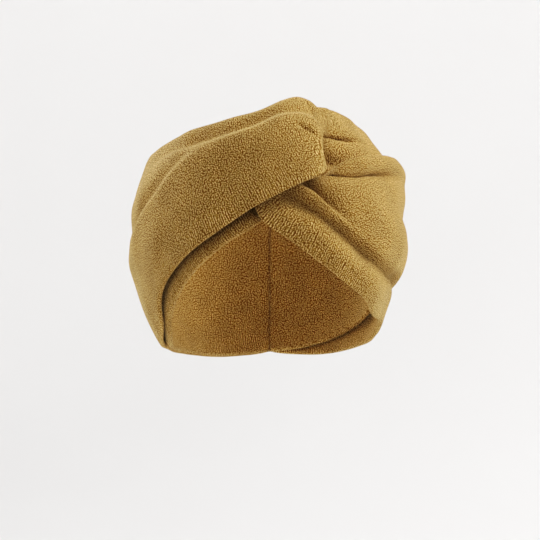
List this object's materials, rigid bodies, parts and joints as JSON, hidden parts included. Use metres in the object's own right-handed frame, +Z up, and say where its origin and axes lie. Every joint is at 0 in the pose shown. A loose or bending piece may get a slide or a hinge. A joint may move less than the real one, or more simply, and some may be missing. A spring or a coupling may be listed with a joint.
{
  "type": "twist headband",
  "caption": "Wide soft knit headband whose strips hook through each other in a twist at the front and are sewn together at the back.",
  "frame": {"origin": "centre of the head that the band is worn on, inside the hollow", "axes": "+Z up as worn, -Y towards the front where the twist is, +X towards the wearer's left"},
  "size_m": [0.1677, 0.2038, 0.1546],
  "materials": {
    "knit": "matt mustard crepe knit with a soft nap"
  },
  "bodies": {
    "root": {"left_loop": "knit", "right_loop": "knit"}
  },
  "joints": []
}
